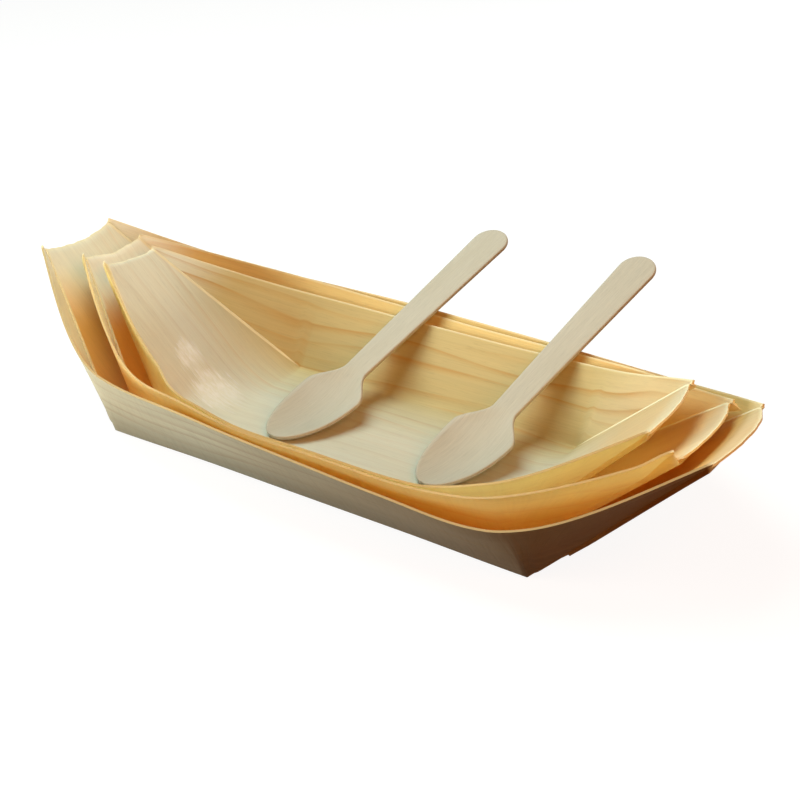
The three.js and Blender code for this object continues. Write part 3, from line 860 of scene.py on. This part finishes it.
def solid_piece(name, sheet, finishes):
    """The sheet as an object with its thickness: inner face, outer face and cut edge in three slots."""
    mesh = bpy.data.meshes.new(name)
    mesh.from_pydata(sheet.points, [], sheet.faces)
    point_attribute(mesh, "grain", sheet.grain)
    point_attribute(mesh, "bleached", sheet.bleached)
    point_attribute(mesh, "edge", sheet.edge)
    mesh.transform(sheet.boat.to_frame())
    for finish in finishes:
        mesh.materials.append(finish)
    piece = bpy.data.objects.new(name, mesh)
    scene.collection.objects.link(piece)
    thicken = piece.modifiers.new("thickness", "SOLIDIFY")
    thicken.thickness = sheet_thickness
    thicken.offset = -1
    thicken.use_even_offset = True
    thicken.use_quality_normals = True
    thicken.material_offset = 1
    thicken.material_offset_rim = 2
    evaluated = piece.evaluated_get(bpy.context.evaluated_depsgraph_get())
    thick = bpy.data.meshes.new_from_object(evaluated)
    piece.modifiers.clear()
    piece.data = thick
    bpy.data.meshes.remove(mesh)
    thick.name = name
    thick.polygons.foreach_set("use_smooth", [True] * len(thick.polygons))
    thick.set_sharp_from_angle(angle=sharp_angle)
    return piece

# %% [markdown]
# ## Pine veneer
# The wood is worked out from the sheet's own coordinates, along and across the grain, which every
# point of the mesh carries. So the grain runs along the floor, up the end panels and along the
# walls, as it did on the flat sheet. Growth rings are bands across the grain that wander; fibres
# are noise drawn out along it. Thin veneer lets warm light through. Subsurface scattering is made for
# thick bodies, so here a share of the light passes through a translucent shader instead, with a
# larger share in the near wall, which has the light behind it.

# %% Grain of the veneer
ring_spacing = 0.0048
ring_wander = 0.022


def grain_noise(finish, grain, along, across, detail=2.0):
    """Noise with features of these sizes along and across the grain."""
    scale = (1 / along, 1 / across, 1.0)
    stretched = finish.node("VectorMath", {"operation": "MULTIPLY"}, in0=grain, in1=scale)
    return finish.noise(stretched.outputs[0], detail)


def growth_rings(finish, grain, across):
    """The dark late wood of the growth rings, which comes and goes along the grain."""
    wander = grain_noise(finish, grain, 0.14, 0.030)
    wandered = finish.add(across, finish.times(wander, ring_wander))
    rings = finish.math("FRACT", finish.times(wandered, 1 / ring_spacing))
    late = finish.ramp(rings, (0.0, 0.0), (0.50, 0.05), (0.80, 0.60), (0.90, 1.0), (0.98, 0.05))
    presence = finish.ramp(grain_noise(finish, grain, 0.08, 0.009), (0.40, 0.05), (0.62, 1.0))
    return finish.times(late, presence)


def torn_fibres(finish, grain, along, across, places):
    """Patches where the knife tore fibres up: ragged at their upper end, and fading at the lower."""
    strand = grain_noise(finish, grain, 0.008, 0.0004)
    mask = 0.0
    for place_along, place_across, reach, half_width in places:
        far_along = finish.math("DIVIDE", finish.minus(along, place_along), reach)
        far_across = finish.math("DIVIDE", finish.minus(across, place_across), half_width)
        oval = finish.add(finish.math("POWER", far_along, 2.0), finish.math("POWER", far_across, 2.0))
        patch = finish.fade(finish.add(oval, finish.times(strand, 3.0)), 2.20, 2.0)
        patch = finish.times(patch, finish.fade(far_along, 1.5, 0.0))
        mask = finish.math("MAXIMUM", mask, patch)
    fluff = grain_noise(finish, grain, 0.0022, 0.0007)
    return finish.times(mask, finish.ramp(fluff, (0.38, 0.50), (0.62, 1.0)))

# %% Colours of a face
right_end = (0.058, 0.090)  # along the sheet, up the right end


@dataclass
class Wood:
    """The colours of one face of the veneer, and how much light it lets through."""

    cream: tuple
    warm: tuple
    streak: tuple
    streak_share: float
    through: float
    near_through: float  # in the near wall, which has light behind it
    through_colour: tuple = (1.0, 0.74, 0.40, 1)
    checks: float = 0.0  # fine cracks across the grain, from the knife
    painted_foot_shade: float = 1.0  # painted shade: darkening of the near wall towards its foot, where it turns under away from the light, and of the outer face below it
    far_colour_and_shade: tuple = None  # colour of the far wall and the floor beside it; on the small boat, painted shade
    far_through: float = 0.0
    near_warm: tuple = None  # colour of the near rim
    right_colour_and_shade: tuple = None  # colour towards the right end; on the large boat's outer wall, painted shade
    right_from: tuple = right_end
    right_through: float = 0.0
    gloss: float = 0.30
    pale: tuple = None  # colour painted on the ends where light falls on them: painted light
    rim_glow: tuple = None  # tint of the light through the near wall below its rim
    torn: tuple = ()  # places (along, across, reach, half width) with torn fibres

# %% Veneer finish
near_wall = (-0.028, -0.036)  # across the sheet: from where, and from where fully
far_wall = (0.003, 0.027)
# across the sheet: where the painted shade at the near wall's foot begins to lift, and where it is gone
wall_foot_up = (-0.038, -0.055)
near_rim = (-0.041, -0.057)
floor_streaks = 0.15  # how strong the rings are on the floor, beside those in the far wall
pale_blocks = 0.85  # share of the light that the ends painted pale keep from passing
edge_cover = 0.8
torn_cover = 0.75
torn_blocks = 0.6
fleck_cover = 0.35
cut_cream_and_highlight = paint(252, 240, 200)
torn_white = paint(255, 255, 250)
veneer_bump, veneer_relief = 0.5, 0.00012


def veneer_finish(name, wood):
    finish = new_finish(name)
    grain = finish.attribute("grain", "Vector")
    parts = finish.node("SeparateXYZ", None, Vector=grain).outputs
    along, across = parts["X"], parts["Y"]
    far = finish.fade(across, *far_wall)
    near = finish.fade(across, *near_wall)
    late = growth_rings(finish, grain, across)
    fibre = grain_noise(finish, grain, 0.022, 0.00042, 3.0)
    silk = grain_noise(finish, grain, 0.045, 0.0020)
    fleck = grain_noise(finish, grain, 0.0050, 0.00035, 1.0)
    cloud = grain_noise(finish, grain, 0.060, 0.025)

    def less(amount, blocked, share=1.0):
        """An amount without the part of it that is blocked."""
        return finish.times(amount, finish.minus(1.0, finish.times(blocked, share)))

    colour = finish.blend(finish.ramp(cloud, (0.32, 0.0), (0.68, 1.0)), wood.cream, wood.warm)
    through = finish.toward(wood.through, wood.near_through, near)
    streak_share = wood.streak_share
    # The far wall and the floor beside it take their own colour: on the small boat this is painted shade,
    # warmer and darker than the lit floor.
    if wood.far_colour_and_shade:
        colour = finish.blend(far, colour, wood.far_colour_and_shade)
        through = finish.toward(through, wood.far_through, far)
        streak_share = finish.toward(floor_streaks * wood.streak_share, wood.streak_share, far)
    if wood.near_warm:
        colour = finish.blend(near, colour, wood.near_warm)
    # Painted shade: the outer face is darker towards the near wall's foot, where the wall turns away from
    # the light.
    if wood.painted_foot_shade < 1.0:
        shaded = finish.toward(wood.painted_foot_shade, 1.0, finish.fade(across, *wall_foot_up))
        colour = finish.blend(1.0, colour, shaded, "MULTIPLY")
    # Colour towards the right end. On the large boat's outer wall it is painted shade: dark brown where the
    # wall turns away from the light.
    if wood.right_colour_and_shade:
        right = finish.fade(along, *wood.right_from)
        colour = finish.blend(right, colour, wood.right_colour_and_shade)
        through = finish.toward(through, wood.right_through, right)
    # Painted light: the ends are painted paler where light falls on them.
    if wood.pale:
        painted_lit = finish.attribute("bleached")
        colour = finish.blend(painted_lit, colour, wood.pale)
        through = less(through, painted_lit, pale_blocks)
    colour = finish.blend(finish.times(late, streak_share), colour, wood.streak)
    # The light line along cut edges: pale cut fibres, and a painted highlight where an edge catches the
    # light.
    edge = finish.attribute("edge")
    colour = finish.blend(finish.times(edge, edge_cover), colour, cut_cream_and_highlight)
    through = less(through, edge)
    glow_colour = wood.through_colour
    if wood.rim_glow:
        glow_colour = finish.blend(finish.fade(across, *near_rim), wood.through_colour, wood.rim_glow)

    shade = finish.add(finish.add(finish.times(fibre, 0.20), finish.times(silk, 0.14)), 0.83)
    colour = finish.blend(1.0, colour, shade, "MULTIPLY")
    flecks = finish.ramp(fleck, (0.26, 0.75), (0.40, 1.0))
    colour = finish.blend(fleck_cover, colour, flecks, "MULTIPLY")
    height = finish.add(finish.times(fibre, 0.5), finish.times(late, 0.25))
    if wood.torn:
        torn = torn_fibres(finish, grain, along, across, wood.torn)
        colour = finish.blend(finish.times(torn, torn_cover), colour, torn_white)
        height = finish.add(height, torn)
        through = less(through, torn, torn_blocks)
    if wood.checks:
        line = finish.ramp(grain_noise(finish, grain, 0.0011, 0.012, 1.0), (0.36, 0.0), (0.50, 1.0))
        colour = finish.blend(wood.checks, colour, line, "MULTIPLY")
        height = finish.add(height, finish.times(line, 0.5))

    bump = finish.node("Bump", None, Height=height, Strength=veneer_bump, Distance=veneer_relief).outputs[0]
    rough = finish.add(finish.times(fibre, 0.15), 0.55)
    surface = finish.node(
        "BsdfPrincipled", None, Base_Color=colour, Roughness=rough, Normal=bump,
        Specular_IOR_Level=wood.gloss)
    glow = finish.node("BsdfTranslucent", None, Color=glow_colour, Normal=bump)
    sheet = finish.node("MixShader", None, in0=through, in1=surface.outputs[0], in2=glow.outputs[0])
    return finish.output(sheet.outputs[0])

# %% [markdown]
# ## The faces of the veneer
# The three boats are cut from different sheets. The small boat is pale inside. The two larger ones
# are painted amber inside: painted light for the warm glow in the shaded gaps between the boats. The
# outside of the large one has weathered to grey, with painted shade at its foot and its right end. One
# wood for all could be painted over, but a finish for each face keeps every colour in one place.

# %% The faces of the veneer
torn_places = ((-0.0760, -0.006, 0.008, 0.0060), (-0.0610, -0.007, 0.012, 0.0095))
rim_light = (0.94, 0.92, 0.60, 1)
small_inner = Wood(
    cream=paint(238, 246, 232), warm=paint(235, 240, 220), streak=paint(196, 140, 62), streak_share=0.70,
    through=0.32, near_through=0.75, through_colour=(1.0, 0.86, 0.52, 1), rim_glow=rim_light,
    far_colour_and_shade=paint(208, 188, 132), far_through=0.10, right_colour_and_shade=paint(246, 230, 184), right_through=0.46,
    pale=paint(238, 234, 212), torn=torn_places)
# Painted light: the amber of the medium boat stands for the warm glow in the shaded gaps between the boats;
# its pale ends are painted where light falls.
medium_inner = Wood(
    cream=paint(255, 192, 92), warm=paint(255, 180, 78), streak=paint(226, 154, 68), streak_share=0.40,
    through=0.42, near_through=0.55, through_colour=(1.0, 0.78, 0.42, 1), rim_glow=rim_light,
    far_colour_and_shade=paint(244, 214, 142), far_through=0.12, right_colour_and_shade=paint(255, 224, 164), right_through=0.44,
    pale=paint(254, 250, 228))
# Painted light: the same amber glow of the shaded gaps, on the large boat's inner face.
large_inner = Wood(
    cream=paint(253, 196, 112), warm=paint(252, 184, 94), streak=paint(222, 154, 72), streak_share=0.40,
    through=0.30, near_through=0.20, far_colour_and_shade=paint(236, 204, 130), far_through=0.20,
    pale=paint(244, 238, 212))
fresh_outer = Wood(
    cream=paint(250, 238, 182), warm=paint(249, 232, 166), streak=paint(226, 176, 92), streak_share=0.50,
    through=0.80, near_through=0.56, through_colour=(1.0, 0.84, 0.48, 1), rim_glow=rim_light, checks=0.05)
# The large boat's outer face: grey from weathering, with painted shade darkening its foot and its right
# end.
weathered_outer = Wood(
    cream=paint(228, 226, 198), warm=paint(219, 213, 182), streak=paint(176, 150, 112), streak_share=0.45,
    through=0.10, near_through=0.05, checks=0.05, painted_foot_shade=0.58, gloss=0.04,
    right_colour_and_shade=paint(128, 84, 42), right_from=(-0.03, 0.125), right_through=0.05)
cut_edge = Wood(
    cream=paint(250, 240, 206), warm=paint(246, 232, 190), streak=paint(226, 196, 140), streak_share=0.3,
    through=0.2, near_through=0.3, near_warm=paint(206, 184, 132))

inner_veneer = veneer_finish("veneer_inner", small_inner)
amber_glow_veneer = veneer_finish("veneer_amber", medium_inner)
large_veneer = veneer_finish("veneer_large_inner", large_inner)
outer_veneer = veneer_finish("veneer_outer", fresh_outer)
weathered_veneer = veneer_finish("veneer_weathered", weathered_outer)
cut_veneer = veneer_finish("veneer_cut_edge", cut_edge)
inner_faces = {"large": large_veneer, "medium": amber_glow_veneer, "small": inner_veneer}
outer_faces = {"large": weathered_veneer, "medium": outer_veneer, "small": outer_veneer}

# %% Boats
for boat in boats:
    finishes = (inner_faces[boat.name], outer_faces[boat.name], cut_veneer)
    piece = solid_piece(boat.name + "_veneer", boat_sheet(boat), finishes)
    body = boat.name + "_boat"
    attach(piece, body)
    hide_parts(body)
    print(piece.name, len(piece.data.polygons), "faces")

# %% [markdown]
# ## Spoons
# Each spoon is cut from thin birch and pressed: a shallow bowl bent up towards its tip, a narrow
# neck and a handle that widens to a round end. A mesh could be cut from a box and subdivided, but the
# outline is simple to write down, so the spoon is built as rings round it: the upper face, the
# rounded edge and the lower face of each row are one closed loop.

# %% Spoon form
spoon_length = 0.118
bowl_length = 0.040
bowl_width = 0.0257
bowl_widest = 0.0275
bowl_depth = 0.0032
bowl_curve = 0.145
neck_width = 0.010
handle_width = 0.014
spoon_thickness = 0.0015
cap_radius = handle_width / 2
cap_start = spoon_length - cap_radius


def spoon_half_width(s):
    if s < bowl_widest:
        return bowl_width / 2 * math.sqrt(max(0, 1 - (1 - s / bowl_widest) ** 2))
    if s < bowl_length:
        share = (s - bowl_widest) / (bowl_length - bowl_widest)
        return lerp(neck_width / 2, bowl_width / 2, (1 + math.cos(math.pi * share)) / 2)
    if s < cap_start:
        return lerp(neck_width / 2, cap_radius, (s - bowl_length) / (cap_start - bowl_length))
    return math.sqrt(max(0, cap_radius ** 2 - (s - cap_start) ** 2))


def spoon_top(s, share):
    """Height of the upper face over the handle's plane, at a share of the half width."""
    if s >= bowl_length:
        return 0.0
    bent_up = (bowl_length - s) ** 2 / (2 * bowl_curve)
    dish = bowl_depth * math.sin(math.pi * max(0, s) / bowl_length) * (1 - share ** 2)
    return bent_up - dish

# %% [markdown]
# ## Where the spoons lie
# A spoon rests with its bowl on the small boat's floor and with its handle on the far rim. A physics
# simulation could drop it there. The two heights are known, so its tilt is found by halving until it
# touches both, which gives the same place on every run.

# %% Spoon rest
steepest = math.pi / 3
rest_stations = 200


def root_of(rising, low, high, tolerance=1e-9):
    """Where a rising function passes zero, found by halving."""
    while high - low > tolerance:
        middle = (low + high) / 2
        if rising(middle) > 0:
            high = middle
        else:
            low = middle
    return (low + high) / 2


def spoon_place(outward, from_end, from_near, turn):
    """Place of a spoon that lies on the small boat's floor and against its far rim."""
    end = small.left if outward < 0 else small.right
    tip_x = end.floor_x - outward * from_end
    tip_y = small.place.y - small.floor_width / 2 + from_near

    def along(reach):
        return tip_x + reach * math.sin(turn)

    def short_of_rim(reach):
        x = along(reach)
        return tip_y + reach * math.cos(turn) - small.rim_y(x) - small.place.y - x * math.sin(small.turn)

    reach = root_of(short_of_rim, 0, spoon_length)
    beside = [small.rim_z(along(reach) + share * handle_width / 2) for share in (-1, 0, 1)]
    rim_top = max(beside) + small.place.z + seat_gap
    floor_top = small.place.z + sheet_thickness + seat_gap
    stations = np.linspace(0, spoon_length, rest_stations)

    def height_at(tilt):
        depths = [spoon_top(s, 0) - spoon_thickness for s in stations]
        under = [s * math.sin(tilt) + depth * math.cos(tilt) for s, depth in zip(stations, depths)]
        return floor_top - min(under)

    low_edge = reach - spoon_half_width(reach) * math.tan(abs(turn))

    def over_rim(tilt):
        clear = low_edge * math.tan(tilt) - spoon_thickness / math.cos(tilt)
        return height_at(tilt) + clear - rim_top

    tilt = root_of(over_rim, 0, steepest)
    place = Matrix.Translation((tip_x, tip_y, height_at(tilt)))
    return place @ Matrix.Rotation(-turn, 4, "Z") @ Matrix.Rotation(tilt, 4, "X")

# %% Spoon mesh
spoon_columns = 16
edge_points = 6
edge_round = 0.00045
tip_rows, bowl_rows, handle_rows, cap_rows = 26, 18, 30, 20
blunt = 0.03  # angle at which the rows stop short of a round end
least_half_width = 0.00003


def spoon_outline():
    """Points (half width, length) of one side, close together at both round ends."""
    tip_angles = np.linspace(blunt, math.pi / 2, tip_rows, endpoint=False)
    tip = [bowl_widest * (1 - math.cos(angle)) for angle in tip_angles]
    bowl = list(np.linspace(bowl_widest, bowl_length, bowl_rows, endpoint=False))
    handle = list(np.linspace(bowl_length, cap_start, handle_rows, endpoint=False))
    cap_angles = np.linspace(0, math.pi / 2 - blunt, cap_rows)
    cap = [cap_start + cap_radius * math.sin(angle) for angle in cap_angles]
    return [(spoon_half_width(s), s) for s in tip + bowl + handle + cap]


def spoon_rings():
    """Closed loops of points round the spoon, one for each place along its outline."""
    outline = np.array(spoon_outline())
    tangents = np.gradient(outline, axis=0)
    normals = np.stack([tangents[:, 1], -tangents[:, 0]], axis=1)
    normals /= np.linalg.norm(normals, axis=1, keepdims=True)
    shares = np.linspace(-1, 1, spoon_columns + 1)
    rings = []
    for (width, s), (out_x, out_s) in zip(outline, normals):
        inner_x = max(least_half_width, width - edge_round * out_x)
        inner_s = s - edge_round * out_s
        upper = [(share * inner_x, inner_s, spoon_top(inner_s, share)) for share in shares]
        rim_z = spoon_top(inner_s, 1)
        edge = []
        for k in range(1, edge_points):
            angle = math.pi / 2 - math.pi * k / edge_points
            grow = edge_round * math.cos(angle)
            drop = spoon_thickness * (1 - math.sin(angle)) / 2
            edge.append((inner_x + out_x * grow, inner_s + out_s * grow, rim_z - drop))
        lower = [(x, y, z - spoon_thickness) for x, y, z in upper]
        left_edge = [(-x, y, z) for x, y, z in reversed(edge)]
        rings.append(upper + edge + lower[::-1] + left_edge)
    return rings


def spoon_mesh(name, seed):
    rings = spoon_rings()
    count = len(rings[0])
    points = [point for ring in rings for point in ring]
    faces = [tuple(range(count)), tuple(range(len(points) - 1, len(points) - count - 1, -1))]
    for r in range(len(rings) - 1):
        for k in range(count):
            after = (k + 1) % count
            faces.append((r * count + k, (r + 1) * count + k, (r + 1) * count + after, r * count + after))
    mesh = bpy.data.meshes.new(name)
    mesh.from_pydata(points, [], faces)
    point_attribute(mesh, "grain", [(y, x, z + seed) for x, y, z in points])
    mesh.polygons.foreach_set("use_smooth", [True] * len(mesh.polygons))
    mesh.update()
    return mesh

# %% [markdown]
# ## Birch
# Birch is paler and closer in grain than pine, with short dark flecks and no rings to be seen on a
# piece this small. A picture of wood could be wrapped round it, but noise drawn out along the handle
# fits both spoons without a seam.

# %% Birch finish
birch_gloss, birch_roughness = 0.30, 0.62
birch_bump, birch_relief = 0.15, 0.0001

birch = new_finish("spoon_birch")
birch_grain = birch.attribute("grain", "Vector")
birch_fibre = grain_noise(birch, birch_grain, 0.008, 0.00035, 3.0)
birch_fleck = grain_noise(birch, birch_grain, 0.0035, 0.00028)
birch_cloud = grain_noise(birch, birch_grain, 0.030, 0.006)
birch_colour = birch.blend(birch_cloud, paint(198, 190, 174), paint(190, 180, 160))
birch_dark = birch.ramp(birch_fleck, (0.28, 0.80), (0.42, 1.0))
birch_colour = birch.blend(0.5, birch_colour, birch_dark, "MULTIPLY")
birch_shade = birch.add(birch.times(birch_fibre, 0.30), 0.84)
birch_colour = birch.blend(1.0, birch_colour, birch_shade, "MULTIPLY")
birch_normal = birch.node("Bump", None, Height=birch_fibre, Strength=birch_bump, Distance=birch_relief)
birch_shader = birch.node(
    "BsdfPrincipled", None, Base_Color=birch_colour, Roughness=birch_roughness,
    Normal=birch_normal.outputs[0], Specular_IOR_Level=birch_gloss)
birch_material = birch.output(birch_shader.outputs[0])

# %% Spoons
# outward end, distance of the bowl's tip from the floor's end and from its near edge, and the turn
spoon_plans = {
    "left": (-1, 0.0204, 0.0080, math.radians(13.2)),
    "right": (1, 0.0309, 0.0103, math.radians(13.3)),
}
seed_step = 2.3
for number, (name, plan) in enumerate(spoon_plans.items()):
    mesh = spoon_mesh(name + "_birch_spoon", number * seed_step)
    mesh.transform(spoon_place(*plan))
    mesh.materials.append(birch_material)
    piece = bpy.data.objects.new(name + "_birch_spoon", mesh)
    scene.collection.objects.link(piece)
    body = name + "_spoon"
    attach(piece, body)
    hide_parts(body)
    print(piece.name, len(mesh.polygons), "faces")

# %% [markdown]
# ## Dried glue
# Twelve spots of glue hold the tucks behind the end panels. Glue that is pressed between two sheets
# spreads to a thin oval. Each spot could stay the plain solid of the measured model, but the panels
# here are folded a little askew, so each is built again as an oval pad that follows its panel.

# %% Glue finish
glue_cloud_scale = 900.0
glue_bump, glue_relief = 0.4, 0.0001

glue = new_finish("dried_glue")
glue_place = glue.node("TexCoord").outputs["Object"]
glue_cloud = glue.noise(glue_place, scale=glue_cloud_scale)
glue_colour = glue.blend(glue_cloud, paint(232, 214, 168), paint(214, 186, 132))
glue_normal = glue.node("Bump", None, Height=glue_cloud, Strength=glue_bump, Distance=glue_relief)
glue_shader = glue.node(
    "BsdfPrincipled", None, Base_Color=glue_colour, Roughness=0.35, Normal=glue_normal.outputs[0])
glue_material = glue.output(glue_shader.outputs[0])

# %% Glue spots
glue_reach = 0.008
glue_width = 0.0045
glue_thickness = 0.0003
glue_gap = 0.0001
glue_turns, glue_rings = 28, 5


def glue_mesh(boat, end_name, side, name):
    """An oval pad between an end panel and its tuck."""
    tip_x = (boat.left if end_name == "left" else boat.right).tip_x
    outward = boat.outward(tip_x)
    start_x = boat.floor_corner(tip_x, side) + outward * tuck_start
    middle_x = (start_x + outward * tuck_emerge + tip_x) / 2
    share = (middle_x - start_x) / (tip_x - start_x)
    inward = lerp(tuck_root, boat.crease_y(tip_x, side) - tuck_split / 2, share) / 2

    def pad_point(angle, size, depth):
        x = middle_x + math.cos(angle) * size * glue_reach / 2
        across = inward + math.sin(angle) * size * glue_width / 2
        px, py, pz = boat.behind_panel(x, side, across, sheet_thickness + glue_gap + depth)
        return boat.by_hand(x, (px, side * py, pz))

    points, faces = [], []
    sizes = [(r / glue_rings, 0.0) for r in range(1, glue_rings + 1)]
    sizes += [(r / glue_rings, glue_thickness) for r in range(glue_rings, 0, -1)]
    for size, depth in sizes:
        points += [pad_point(2 * math.pi * k / glue_turns, size, depth) for k in range(glue_turns)]
    for r in range(len(sizes) - 1):
        for k in range(glue_turns):
            after = (k + 1) % glue_turns
            faces.append([r * glue_turns + k, r * glue_turns + after,
                          (r + 1) * glue_turns + after, (r + 1) * glue_turns + k])
    faces.append(list(range(glue_turns - 1, -1, -1)))
    faces.append([(len(sizes) - 1) * glue_turns + k for k in range(glue_turns)])
    if outward * side < 0:
        faces = [face[::-1] for face in faces]
    mesh = bpy.data.meshes.new(name)
    mesh.from_pydata(points, [], faces)
    mesh.transform(boat.to_frame())
    mesh.materials.append(glue_material)
    mesh.update()
    return mesh


for boat in boats:
    for end_name in ("left", "right"):
        for side_name, side in (("near", -1), ("far", 1)):
            node = f"{boat.name}_glue_{end_name}_{side_name}"
            spot = bpy.data.objects.new(node + "_pad", glue_mesh(boat, end_name, side, node + "_pad"))
            scene.collection.objects.link(spot)
            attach(spot, boat.name + "_boat")
            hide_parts(node)
    print("glue spots on the", boat.name, "boat: 4")
